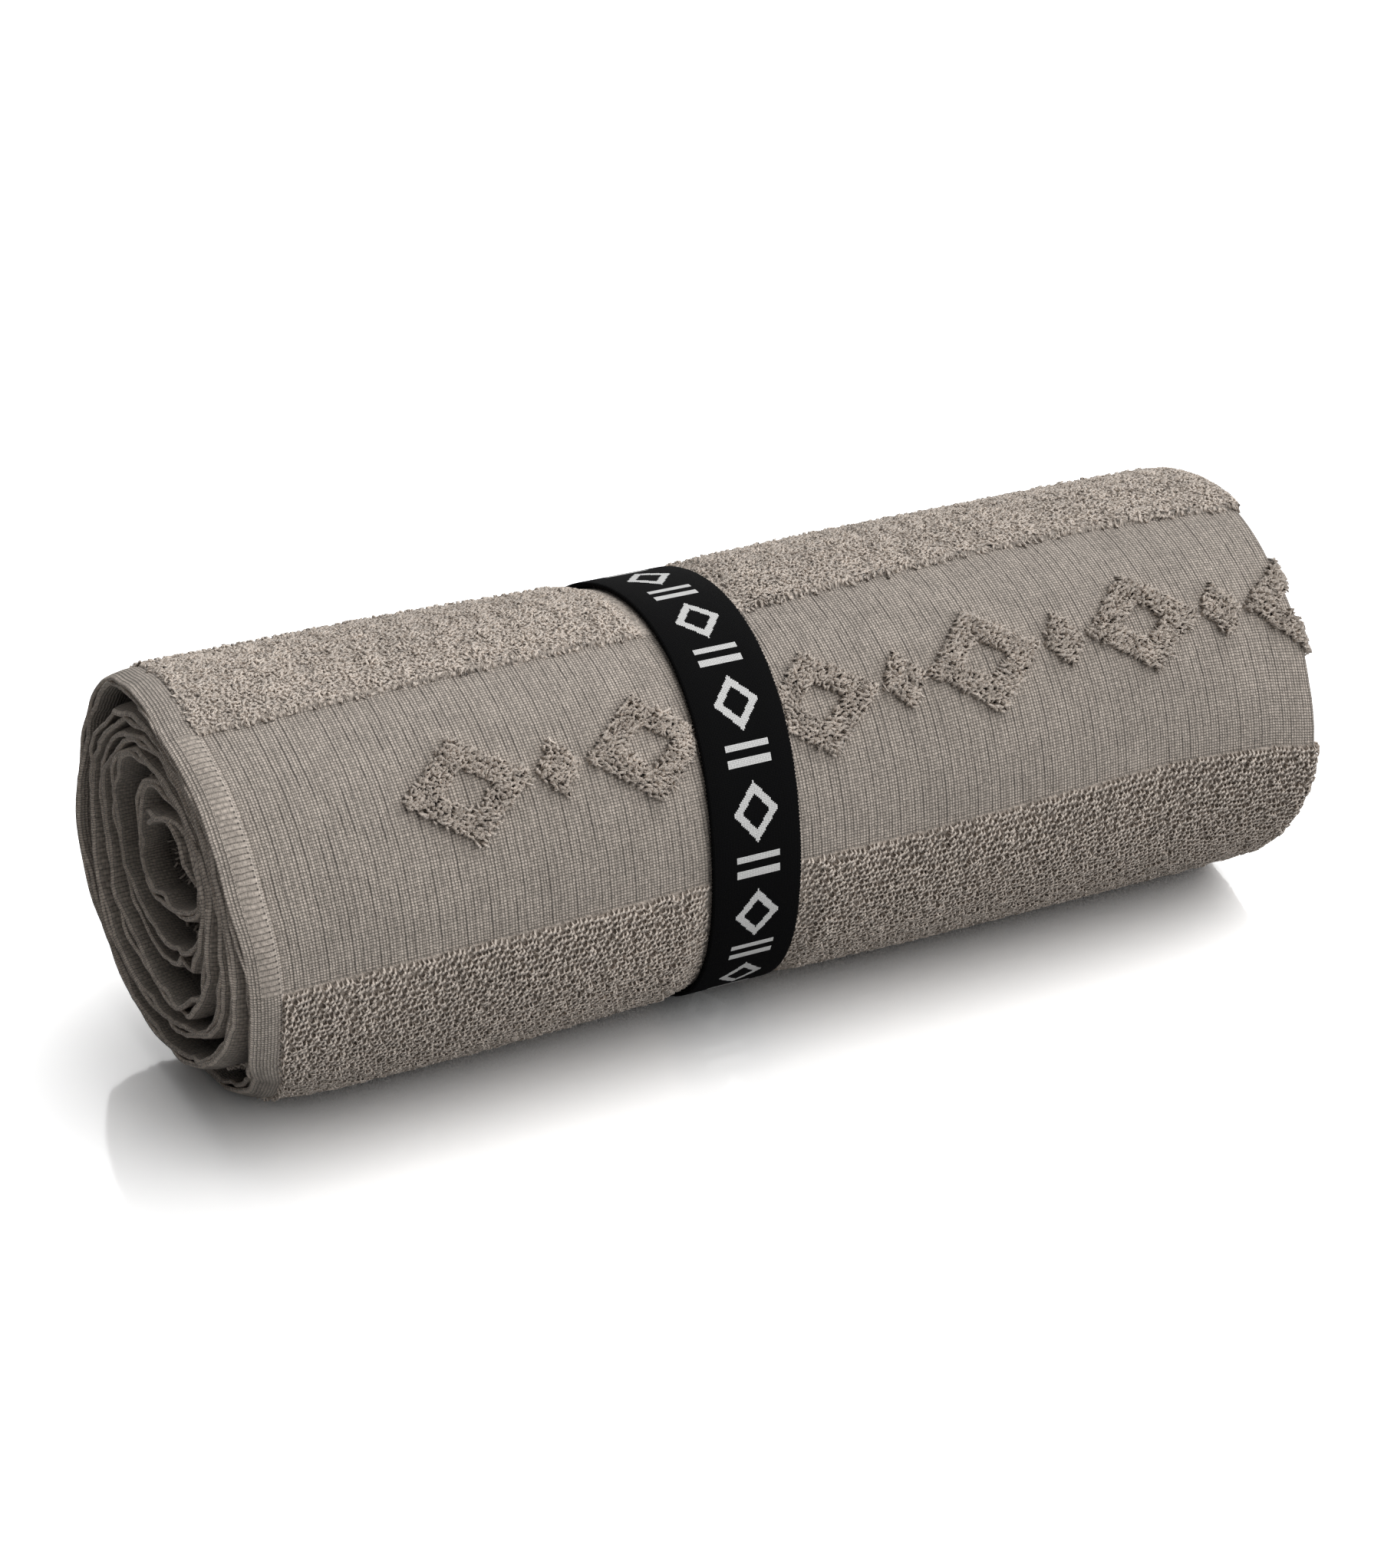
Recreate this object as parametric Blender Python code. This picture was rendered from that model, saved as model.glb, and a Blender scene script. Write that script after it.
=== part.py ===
"""A terry gym towel, folded in half along its length, rolled up and held by an elastic band.

The roll lies along X on the plane z = 0, centred on the Z axis. Its near end, at -X, shows the
two side hems of the folded cloth, and its far end, at +X, is the fold. The cloth is one sheet:
its outer layer runs from the hem to the fold, and its inner layer runs back from the fold to the
other hem. Both layers are wound together from a loose end under the roll, up over the front
at -Y, the top and the back, and so inwards to an open core.
"""

import math

import bmesh
import bpy
import numpy as np

# Driving sizes, in metres
ROLL_LENGTH = 0.250
PILE_THICKNESS = 0.0023
HEM_THICKNESS = 0.0016
HEM_RECESS = (PILE_THICKNESS - HEM_THICKNESS) / 2
LAYER_GAP = 0.0004
FOLD_DEPTH = 2 * PILE_THICKNESS + LAYER_GAP
SLIT_LENGTH = 0.034
BORDER_RECESS = 0.0011
BAND_WIDTH = 0.0204
BAND_CENTRE = -0.0138
BAND_THICKNESS = 0.0011
BAND_CLEARANCE = 0.0003
FLOOR_PRESS = 0.00002
WAIST = BAND_THICKNESS + BAND_CLEARANCE - FLOOR_PRESS
WAIST_RAMP = 0.0062
WAIST_MARGIN = 0.0006

# The spiral's stations in each turn, and the first and last of them, counted from the lowest point
STATIONS_PER_TURN = 28
FIRST_STATION = -1
LAST_STATION = 146
FIRST_BORDER_STATION = 8
LAST_BORDER_STATION = 12

# How far the outside of each turn reaches in front of the axis and behind it, and its highest and
# lowest heights. A turn starts at the bottom, so its front lies 3/4 of a turn before its end.
TURN_COLUMNS = ("turn", "front", "top", "back", "bottom")
TURNS = (
    (0, 0.0504, 0.0902, 0.0502, -0.0016),
    (1, 0.0504, 0.0902, 0.0502, 0.0060),
    (2, 0.0447, 0.0845, 0.0442, 0.0145),
    (3, 0.0388, 0.0790, 0.0382, 0.0215),
    (4, 0.0329, 0.0735, 0.0312, 0.0285),
    (5, 0.0266, 0.0672, 0.0150, 0.0385),
    (6, 0.0202, 0.0600, 0.0080, 0.0442),
)
LAG = {"front": 0.75, "top": 0.50, "back": 0.25, "bottom": 0.0}

# How far the near edge of the cloth stands out from the roll's end (minus) or is drawn in (plus)
NEAR_EDGE = (
    # turn, shift
    (-0.10, 0.0108),
    (0.00, 0.0096),
    (0.12, 0.0058),
    (0.25, 0.0020),
    (0.50, 0.0004),
    (0.75, -0.0004),
    (1.00, 0.0012),
    (1.50, 0.0020),
    (2.00, 0.0004),
    (2.60, 0.0024),
    (3.20, 0.0002),
    (3.80, 0.0020),
    (4.40, 0.0006),
    (5.30, 0.0030),
)
NEAR_EDGE_REACH = 0.070

# Places along the roll where its outline or its cloth changes
NEAR_END = -ROLL_LENGTH / 2
HEM_INSIDE = NEAR_END + 0.0060
PILE_START = NEAR_END + 0.0085
SLIT_END = NEAR_END + SLIT_LENGTH
WAIST_START = BAND_CENTRE - BAND_WIDTH / 2 - WAIST_RAMP
PRESSED_START = BAND_CENTRE - BAND_WIDTH / 2 - WAIST_MARGIN
PRESSED_END = BAND_CENTRE + BAND_WIDTH / 2 + WAIST_MARGIN
WAIST_END = BAND_CENTRE + BAND_WIDTH / 2 + WAIST_RAMP
SHOULDER = 0.1060
SHOULDER_BEND = 0.1160
FOLD_START = 0.1225
FAR_END = ROLL_LENGTH / 2

# How far the wound layers are drawn in along the roll, by the band and round the far shoulder
DRAWN_IN = (
    # x, inset
    (NEAR_END, 0.0),
    (WAIST_START, 0.0),
    (PRESSED_START, WAIST),
    (PRESSED_END, WAIST),
    (WAIST_END, 0.0),
    (SHOULDER, 0.0),
    (SHOULDER_BEND, 0.0003),
    (FOLD_START, 0.0010),
    (FAR_END, 0.0010),
)

# The doubled cloth's outline at each station, once round: the outer layer's face from its hem to
# the fold, the inner layer's face from the fold to its hem, and the slit that parts the two hems.
# Depth is measured inwards from the outer face, and bordered is the share of the border's recess.
OUTLINE_COLUMNS = ("x", "depth", "bordered")
OUTLINE = (
    (NEAR_END, HEM_RECESS, 0.0),
    (HEM_INSIDE, HEM_RECESS, 0.0),
    (PILE_START, 0.0, 1.0),
    (WAIST_START, 0.0, 1.0),
    (PRESSED_START, 0.0, 0.0),
    (PRESSED_END, 0.0, 0.0),
    (WAIST_END, 0.0, 1.0),
    (SHOULDER, 0.0, 1.0),
    (SHOULDER_BEND, 0.0, 1.0),
    (FOLD_START, 0.0, 0.3),
    (FAR_END, FOLD_DEPTH / 2, 0.0),
    (FOLD_START, FOLD_DEPTH, 0.0),
    (SHOULDER_BEND, FOLD_DEPTH, 0.0),
    (SHOULDER, FOLD_DEPTH, 0.0),
    (WAIST_END, FOLD_DEPTH, 0.0),
    (PRESSED_END, FOLD_DEPTH, 0.0),
    (PRESSED_START, FOLD_DEPTH, 0.0),
    (WAIST_START, FOLD_DEPTH, 0.0),
    (PILE_START, FOLD_DEPTH, 0.0),
    (HEM_INSIDE, FOLD_DEPTH - HEM_RECESS, 0.0),
    (NEAR_END, FOLD_DEPTH - HEM_RECESS, 0.0),
    (NEAR_END, FOLD_DEPTH - HEM_RECESS - HEM_THICKNESS, 0.0),
    (PILE_START, FOLD_DEPTH - PILE_THICKNESS, 0.0),
    (SLIT_END, FOLD_DEPTH / 2, 0.0),
    (PILE_START, PILE_THICKNESS, 0.0),
    (NEAR_END, HEM_RECESS + HEM_THICKNESS, 0.0),
    (NEAR_END, HEM_RECESS, 0.0),
)

# The band is a stretched loop with a step of its outward direction between its stations
BAND_STATIONS = 56
SECTION_SAMPLES = 1400

COTTON_COLOUR = (0.31, 0.275, 0.235, 1.0)
ELASTIC_COLOUR = (0.02, 0.02, 0.022, 1.0)


def column(rows, names, name):
    """One named column of a table as an array."""
    return np.array([row[names.index(name)] for row in rows])


def smooth(value, places, heights):
    """A smooth curve through the given heights, with each slope taken from its neighbours."""
    slopes = np.gradient(heights, places)
    step = np.clip(np.searchsorted(places, value) - 1, 0, len(places) - 2)
    width = places[step + 1] - places[step]
    share = (value - places[step]) / width
    left = heights[step] * (1 + 2 * share) * (1 - share) ** 2
    right = heights[step + 1] * share ** 2 * (3 - 2 * share)
    lean = slopes[step] * share * (1 - share) ** 2 - slopes[step + 1] * share ** 2 * (1 - share)
    return left + right + width * lean


def reach(turn, name):
    """How far the outside of the spiral reaches to one side at this place along the winding."""
    places = column(TURNS, TURN_COLUMNS, "turn") - LAG[name]
    return smooth(turn, places, column(TURNS, TURN_COLUMNS, name))


def section(turn):
    """The outside of the wound cloth, seen from its end: an ellipse that shrinks as it turns."""
    angle = 2 * math.pi * turn
    front, back = reach(turn, "front"), reach(turn, "back")
    top, bottom = reach(turn, "top"), reach(turn, "bottom")
    y = (back - front) / 2 - (back + front) / 2 * np.sin(angle)
    z = (top + bottom) / 2 - (top - bottom) / 2 * np.cos(angle)
    return y, np.maximum(z, 0.0)


def outward(turn):
    """The direction that faces away from the core, from the section's own slope."""
    step = 0.002
    y_before, z_before = section(turn - step)
    y_after, z_after = section(turn + step)
    along_y, along_z = y_after - y_before, z_after - z_before
    length = np.hypot(along_y, along_z)
    return -along_z / length, along_y / length


def new_material(name, colour, roughness):
    """A plain woven finish."""
    material = bpy.data.materials.new(name)
    material.use_nodes = True
    shader = material.node_tree.nodes["Principled BSDF"]
    shader.inputs["Base Color"].default_value = colour
    shader.inputs["Roughness"].default_value = roughness
    shader.inputs["Metallic"].default_value = 0.0
    return material


def new_grid(name, rows, columns):
    """A flat grid object, with the row and the column of each of its points."""
    mesh = bpy.data.meshes.new(name)
    form = bmesh.new()
    bmesh.ops.create_grid(form, x_segments=columns - 1, y_segments=rows - 1, size=0.5)
    form.to_mesh(mesh)
    form.free()
    places = np.empty(len(mesh.vertices) * 3)
    mesh.vertices.foreach_get("co", places)
    places = places.reshape(-1, 3) + 0.5
    column_of = np.rint(places[:, 0] * (columns - 1)).astype(int)
    row_of = np.rint(places[:, 1] * (rows - 1)).astype(int)
    return bpy.data.objects.new(name, mesh), row_of, column_of


def place_points(thing, x, y, z):
    """Move every point of a mesh to its worked-out place."""
    thing.data.vertices.foreach_set("co", np.stack((x, y, z), axis=-1).ravel())
    thing.data.update()


def close_tube(mesh):
    """Join the grid's first column to its last, fill its two open ends and face it outwards."""
    form = bmesh.new()
    form.from_mesh(mesh)
    bmesh.ops.remove_doubles(form, verts=form.verts, dist=1e-7)
    ends = [edge for edge in form.edges if edge.is_boundary]
    bmesh.ops.holes_fill(form, edges=ends, sides=0)
    bmesh.ops.recalc_face_normals(form, faces=form.faces)
    form.to_mesh(mesh)
    form.free()


def build_towel(collection):
    """The doubled cloth's outline carried along its spiral."""
    stations = LAST_STATION - FIRST_STATION + 1
    towel, row, place = new_grid("towel_roll", stations, len(OUTLINE))
    station = row + FIRST_STATION
    turn = station / STATIONS_PER_TURN
    x = column(OUTLINE, OUTLINE_COLUMNS, "x")[place]
    depth = column(OUTLINE, OUTLINE_COLUMNS, "depth")[place]
    bordered = column(OUTLINE, OUTLINE_COLUMNS, "bordered")[place]

    in_border = (station >= FIRST_BORDER_STATION) & (station <= LAST_BORDER_STATION)
    inset_x, inset = np.array(DRAWN_IN).T
    depth = depth + np.interp(x, inset_x, inset) + BORDER_RECESS * bordered * in_border

    y, z = section(turn)
    out_y, out_z = outward(turn)
    edge_turn, edge_shift = np.array(NEAR_EDGE).T
    near = np.clip((NEAR_END + NEAR_EDGE_REACH - x) / NEAR_EDGE_REACH, 0, 1)
    x = x + near * smooth(turn, edge_turn, edge_shift)
    place_points(towel, x, y - out_y * depth, z - out_z * depth)
    close_tube(towel.data)

    towel.data.materials.append(new_material("cotton terry", COTTON_COLOUR, 0.95))
    collection.objects.link(towel)
    return towel


def stretched_outline(offset):
    """The taut loop round the drawn-in roll: its furthest point in each outward direction."""
    turn = np.linspace(FIRST_STATION / STATIONS_PER_TURN, 1.0, SECTION_SAMPLES)
    y, z = section(turn)
    section_out_y, section_out_z = outward(turn)
    y, z = y - section_out_y * WAIST, z - section_out_z * WAIST
    angle = 2 * math.pi * (np.arange(BAND_STATIONS) + 0.5) / BAND_STATIONS
    out_y, out_z = np.sin(angle), -np.cos(angle)
    furthest = np.argmax(np.outer(out_y, y) + np.outer(out_z, z), axis=1)
    return y[furthest] + out_y * offset, np.maximum(z[furthest] + out_z * offset, 0.0)


def build_band(collection):
    """The elastic loop: a closed ring of four-sided section, flush with the pile beside it."""
    mesh = bpy.data.meshes.new("elastic_band")
    form = bmesh.new()
    rings = []
    for x in (BAND_CENTRE - BAND_WIDTH / 2, BAND_CENTRE + BAND_WIDTH / 2):
        for offset in (BAND_CLEARANCE + BAND_THICKNESS, BAND_CLEARANCE):
            rings.append([form.verts.new((x, y, z)) for y, z in zip(*stretched_outline(offset))])
    near_outer, near_inner, far_outer, far_inner = rings
    sides = ((near_outer, far_outer), (far_outer, far_inner))
    sides += ((far_inner, near_inner), (near_inner, near_outer))
    for first, second in sides:
        for index in range(BAND_STATIONS):
            after = (index + 1) % BAND_STATIONS
            form.faces.new((first[index], first[after], second[after], second[index]))
    bmesh.ops.recalc_face_normals(form, faces=form.faces)
    form.to_mesh(mesh)
    form.free()
    band = bpy.data.objects.new("elastic_band", mesh)
    band.data.materials.append(new_material("woven elastic", ELASTIC_COLOUR, 0.7))
    collection.objects.link(band)
    return band


def main():
    for thing in list(bpy.data.objects):
        bpy.data.objects.remove(thing, do_unlink=True)
    collection = bpy.data.collections.new("rolled gym towel")
    bpy.context.scene.collection.children.link(collection)
    build_towel(collection)
    build_band(collection)


main()
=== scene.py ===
"""A rolled gym towel of greige cotton terry, held by a black woven elastic band.

The cloth is one sheet with two coordinates, in metres: u runs along the towel, round the roll, from
the roll's lowest point, and v runs across the towel, from the outer hem at the near end of the roll
to the fold at the far end and back to the inner hem. Every part of the cloth, its loops included,
is worked out in u, v and lift, the height above the woven ground, and place_cloth() winds it up.
"""

import math

import bpy
import numpy as np
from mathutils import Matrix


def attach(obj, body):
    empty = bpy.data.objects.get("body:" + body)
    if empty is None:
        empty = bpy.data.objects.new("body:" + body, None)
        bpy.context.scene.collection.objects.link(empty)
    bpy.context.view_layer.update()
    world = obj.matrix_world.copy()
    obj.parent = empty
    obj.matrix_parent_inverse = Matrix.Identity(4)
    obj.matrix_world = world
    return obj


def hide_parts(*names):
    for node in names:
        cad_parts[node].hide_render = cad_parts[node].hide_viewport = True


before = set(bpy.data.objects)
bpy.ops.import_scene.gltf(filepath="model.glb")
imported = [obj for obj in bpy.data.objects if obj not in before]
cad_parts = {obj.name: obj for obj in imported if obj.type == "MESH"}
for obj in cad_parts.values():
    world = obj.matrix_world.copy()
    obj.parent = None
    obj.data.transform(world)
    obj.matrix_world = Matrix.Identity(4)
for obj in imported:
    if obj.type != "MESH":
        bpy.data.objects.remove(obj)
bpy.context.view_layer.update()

# The camera, from the photograph's perspective
CAMERA_PLACE = (-0.29356, -0.56468, 0.35366)
CAMERA_YAW = math.radians(27.28)
CAMERA_PITCH = math.radians(26.13)
CAMERA_LENS = 74.6

# The roll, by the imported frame's sizes
ROLL_LENGTH = 0.250
NEAR_END = -ROLL_LENGTH / 2
FOLD_DEPTH = 0.0050
BAND_WIDTH = 0.0204
BAND_CENTRE = -0.0138
BAND_THICKNESS = 0.0011
BAND_CLEARANCE = 0.0003
BAND_BOW = 0.0047
WAIST = 0.00138
WAIST_RAMP = 0.0062
WAIST_MARGIN = 0.0006
BROAD_WAIST = 0.0011
BROAD_WAIST_REACH = 0.036
FIRST_TURN = -0.036
LAST_TURN = 5.60

# How far the outside of each turn reaches in front of the axis and behind it, and its highest and
# lowest heights. A turn starts at the bottom, so its front lies 3/4 of a turn before its end.
TURN_COLUMNS = ("turn", "front", "top", "back", "bottom")
TURNS = (
    (0, 0.0504, 0.0902, 0.0502, -0.0016),
    (1, 0.0504, 0.0902, 0.0502, 0.0060),
    (2, 0.0447, 0.0845, 0.0442, 0.0145),
    (3, 0.0388, 0.0790, 0.0382, 0.0215),
    (4, 0.0329, 0.0735, 0.0312, 0.0285),
    (5, 0.0270, 0.0680, 0.0150, 0.0385),
    (6, 0.0218, 0.0640, 0.0080, 0.0442),
)
LAG = {"front": 0.75, "top": 0.50, "back": 0.25, "bottom": 0.0}

# The cloth's lip at the near end, every sixteenth of a turn from MOUTH_START, in millimetres: how far
# it is drawn in (plus) or stands out (minus) along the roll, and how far it lies from the even winding
# in y and in z
MOUTH_START = -1 / 16
MOUTH_STEP = 1 / 16
MOUTH = (
    (6.9, 0.0, 0.0), (7.0, 0.0, 0.2), (7.3, 0.0, 3.4), (5.4, 0.0, 3.9), (2.2, -0.1, 1.2),
    (1.4, 0.0, 0.0), (0.5, 0.0, 0.0), (-0.2, 0.1, 0.0), (-1.4, 0.0, 0.0), (-1.1, -0.1, 0.0),
    (-0.3, -0.3, -0.4), (0.8, -0.6, -0.3), (0.4, 0.0, 0.0), (-1.5, 0.0, 0.0), (-2.1, 0.1, 0.0),
    (-1.8, 0.1, -0.1), (-1.2, 0.1, 0.1), (-0.3, 0.0, 0.9), (-0.4, 0.5, 1.8), (-0.6, 0.9, 1.4),
    (-0.4, -0.1, -0.2), (0.1, -0.9, -1.0), (0.5, -0.8, -0.5), (0.4, 0.4, 1.4), (0.0, 0.6, 1.4),
    (-0.5, -0.2, -0.3), (-0.6, -0.7, -1.2), (-0.4, -1.4, -2.2), (-0.3, -0.9, -1.3), (-0.5, -0.1, -0.1),
    (-1.4, 0.3, -0.2), (-2.1, -0.3, -2.9), (-1.4, -1.1, -2.5), (-0.6, -0.3, -0.6), (-0.5, 0.1, 0.1),
    (-0.5, -0.3, -0.5), (-0.2, -0.9, -1.2), (0.3, -1.2, -1.4), (0.8, -0.8, -0.2), (1.0, 0.8, 2.4),
    (0.5, 1.5, 3.1), (-0.3, 0.7, 1.3), (-0.5, -0.3, -0.5), (-0.4, -0.9, -1.4), (-0.2, -1.3, -1.8),
    (0.1, -0.9, -1.0), (-0.3, -0.1, -0.1), (-0.7, -0.1, -0.3), (-0.8, -0.6, -1.2), (-0.8, -1.0, -1.9),
    (-0.6, -1.3, -2.1), (-0.5, -0.7, -1.2), (-0.6, 0.2, 0.3), (-0.5, 0.0, 0.0), (1.2, 0.1, 1.5),
    (1.1, 0.9, 2.6), (0.5, 1.5, 3.1), (-0.1, 1.3, 2.3), (-0.4, 0.9, 1.6), (-0.4, -0.4, -0.6),
    (-0.1, -1.6, -2.2), (0.5, -1.5, -1.6), (0.8, -0.3, 0.5), (0.6, 0.7, 2.0), (0.3, 1.4, 2.8),
    (0.0, 1.8, 3.3), (-0.3, 2.0, 3.3), (-0.4, 1.1, 1.9), (-0.2, -0.2, 0.0), (0.3, -1.0, -1.0),
    (1.2, -1.3, -0.7), (1.7, 2.4, 5.5), (1.3, 2.8, 5.3), (0.3, 2.5, 4.7), (-0.4, 1.0, 1.7),
    (-0.4, -0.9, -1.4), (0.1, -1.7, -2.3), (0.5, -1.2, -1.2), (0.5, -0.3, 0.3), (0.3, 0.6, 1.6),
    (0.2, 1.2, 2.4), (0.1, 2.2, 4.1), (-0.4, 2.0, 3.4), (0.0, 0.5, 2.4), (1.0, -1.5, 1.0),
    (1.8, -2.4, 0.2), (1.9, -1.3, 1.1), (1.7, 0.7, 4.1), (0.7, 1.9, 4.0), (-0.2, 1.0, 1.9),
    (-0.3, 0.8, 1.5), (-0.2, 0.8, 1.5),
)
SLIDE_REACH = 0.070
SLIDE_POWER = 1.5
MOUTH_REACH = 0.058
MOUTH_POWER = 1.8

# The loose end passes into the turn between these places. Before them the lip's shifts fade faster.
LOOSE_END = (0.16, 0.32)
LOOSE_POWER = 4.0

# How far the wound layers are drawn in round the far shoulder
SHOULDER = (
    # x, inset
    (0.1080, 0.0),
    (0.1185, 0.0002),
    (0.1250, 0.0003),
    (0.1300, 0.0007),
)

# How far the outermost turn's fold stands out at the far end
FAR_SLIDE = (
    # turn, how far
    (-0.05, 0.0),
    (0.10, 0.0015),
    (0.22, 0.0020),
    (0.30, 0.0004),
    (0.40, 0.0008),
    (0.48, 0.0034),
    (0.58, 0.0030),
    (0.80, 0.0),
)
FAR_SLIDE_REACH = 0.034
FAR_SLIDE_POWER = 1.5
FAR_SLIDE_MOST = 1.05

# The cloth
CLOTH_WIDTH = 0.5072
HEM_WIDTH = 0.0068
HEM_STITCH = 0.0062
GROUND_THICKNESS = 0.0011
HEM_THICKNESS = 0.00105
PILE_GROUND = (0.00050, 0.0013)
BORDER_GROUND = 0.0015
HEM_GROUND = 0.0005
FOLD_RADIUS = 0.0025
STEP_WIDTH = 0.0004
HEM_EDGE = 0.0005
THINNEST_EDGE = 0.08
GROOVE_WIDTH = 0.0003
GROOVE_DEPTH = 0.00018
PRESSED_GROUND = 0.00025

# How far the outer layer's edge rolls in at the near end, over what width, and how far it stands out
# again in the outermost turn
ROLLED_IN = 0.0009
ROLL_WIDTH = 0.0048
ROLL_STANDS_OUT = 0.0004

# How far the inner layer closes up to the outer one at the near end, and over what length
CLOSED_UP = 0.0012
CLOSED_REACH = 0.020

# The waves of the near edge, and the finer ones of the hems inside the first turn: how high they are,
# how far from the edge they reach, how far the inner layer's are shifted, and their seeds and lengths
WAVE = 0.00035
WAVE_REACH = 0.026
WAVE_SHIFT = 0.009
WAVE_ALONG = (11, 0.052)
WAVE_INWARD = (12, 0.034)
CRIMP = 0.00028
CRIMP_REACH = 0.010
CRIMP_ALONG = (14, 0.021)
CRIMP_INWARD = (13, 0.017)

# Where one layer splays inwards (plus) or outwards (minus) at the near end: layer 0 is the outer one
# and 1 the inner one
SPLAYS = (
    # turn, width in turns, layer, how far
    (5.345, 0.040, 1, 0.0052),
    (5.262, 0.020, 1, 0.0022),
    (4.010, 0.110, 0, -0.0034),
    (4.085, 0.011, 0, 0.0022),
    (4.125, 0.012, 0, -0.0016),
    (3.100, 0.030, 1, 0.0012),
    (2.610, 0.050, 1, 0.0016),
    (1.610, 0.050, 1, 0.0018),
)
SPLAY_REACH = 0.034
NEAR_POWER = 1.3

# The border's two edges round the roll, from the lowest point, at places along the roll
BORDER_EDGES = (
    # x, lower edge, upper edge
    (-0.1250, 0.0752, 0.1326),
    (-0.0800, 0.0755, 0.1350),
    (-0.0240, 0.0760, 0.1370),
    (0.0240, 0.0766, 0.1395),
    (0.0580, 0.0778, 0.1408),
    (0.0900, 0.0790, 0.1408),
    (0.1140, 0.0770, 0.1395),
    (0.1250, 0.0745, 0.1385),
)
BORDER_LOW = 0.0752
BORDER_HIGH = 0.1326
DRIFT_RISE = 0.03
DRIFT_FADE = 0.25

# Where the cloth goes under the loose end, how far in from the near end it shows there, and from where
# its hem is wound in
COVERED_FROM = 0.2850
LOOSE_END_SHOWS = 0.040
WOUND_IN_FROM = 0.262

# The border's ornament in raised pile: a row of lozenge rings with small diamonds between them
ORNAMENT_MIDDLE = 0.1060
ORNAMENT_START = -0.0865
ORNAMENT_END = 0.1300
ORNAMENT_PITCH = 0.0400
RING_HALF_LENGTH = 0.0140
RING_HALF_HEIGHT = 0.0112
RING_HOLE = 0.42
DIAMOND_HALF_LENGTH = 0.0048
DIAMOND_HALF_HEIGHT = 0.0062

COTTON = (0.572, 0.502, 0.439)
ELASTIC_BLACK = (0.0040, 0.0040, 0.0044, 1.0)
ELASTIC_WHITE = (0.88, 0.88, 0.87, 1.0)

# The weaves, in millimetres: the pitches of the ground's threads, of the border's ribs and of the hem's
# rows and cells, and how far the hem's cells stay from the edge, outside and inside the roll
GROUND_PITCHES = {"Across Pitch": 0.69, "Along Pitch": 0.62}
RIB_PITCH = 1.86
HEM_ROW = 1.20
HEM_CELL = 1.45
PLAIN_EDGE_OUTSIDE = 2.3
PLAIN_EDGE_INSIDE = 0.8
STITCH_HALF_WIDTH = 0.24

# The elastic's threads and the motif woven into it, in millimetres
ELASTIC_PITCH = 0.34
MOTIF_PITCH = 22.8
MOTIF_HALF_WIDTH = 5.1
LOZENGE_MIDDLE = 7.0
LOZENGE_HALF_LENGTH = 6.2
BAR_MIDDLES = (16.4, 19.6)
BAR_HALF_LENGTH = 0.75

# The studio's light, and how bright its floor shows to the camera and to the rest of the scene
DOME = {"level": 1.04, "rise": 0.52, "side": 0.52, "front": 0.40, "near": 0.56, "fall": 1.65, "least": 0.11}
DOME_DIMMEST = 0.05
FLOOR_HALF_SIZE = 6.0
FLOOR_SEEN = 1.75
FLOOR_GLOSS = (0.28, 0.28, 0.28, 1.0)
FLOOR_UNSEEN = (0.29, 0.29, 0.29, 1.0)
CONTACT_REACH = 0.022
CONTACT_POWER = 0.35


def column(rows, names, name):
    """One named column of a table as an array."""
    return np.array([row[names.index(name)] for row in rows])


def smooth(value, places, heights):
    """A cubic curve through the heights, with each slope taken from the neighbouring heights."""
    slopes = np.gradient(heights, places)
    step = np.clip(np.searchsorted(places, value) - 1, 0, len(places) - 2)
    width = places[step + 1] - places[step]
    share = (value - places[step]) / width
    left = heights[step] * (1 + 2 * share) * (1 - share) ** 2
    right = heights[step + 1] * share ** 2 * (3 - 2 * share)
    lean = slopes[step] * share * (1 - share) ** 2 - slopes[step + 1] * share ** 2 * (1 - share)
    return left + right + width * lean


def soft_step(value, start, end):
    """0 before start and 1 after end, with a smooth rise 3s^2 - 2s^3 between them."""
    share = np.clip((value - start) / (end - start), 0, 1)
    return share * share * (3 - 2 * share)


def ripple(place, seed, longest):
    """An uneven wave, mostly from -1 to 1: the sum of three sines with seeded phases. Each is about
    1.55 times shorter and 0.72 times as high as the one before."""
    draw = np.random.default_rng(seed)
    total = np.zeros_like(place)
    weight = 0.0
    for octave in range(3):
        length = longest / (1.55 ** octave) * draw.uniform(0.85, 1.15)
        share = 0.72 ** octave
        total += share * np.sin(2 * math.pi * place / length + draw.uniform(0, 2 * math.pi))
        weight += share
    return total / weight * 1.6


def reach(turn, name):
    """How far the outside of the spiral reaches to one side at this place along the winding."""
    places = column(TURNS, TURN_COLUMNS, "turn") - LAG[name]
    return smooth(turn, places, column(TURNS, TURN_COLUMNS, name))


def section(turn):
    """The outside of the wound cloth, seen from its end: an ellipse that shrinks as it turns."""
    angle = 2 * math.pi * turn
    front, back = reach(turn, "front"), reach(turn, "back")
    top, bottom = reach(turn, "top"), reach(turn, "bottom")
    y = (back - front) / 2 - (back + front) / 2 * np.sin(angle)
    z = (top + bottom) / 2 - (top - bottom) / 2 * np.cos(angle)
    return y, np.maximum(z, 0.0)


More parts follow.
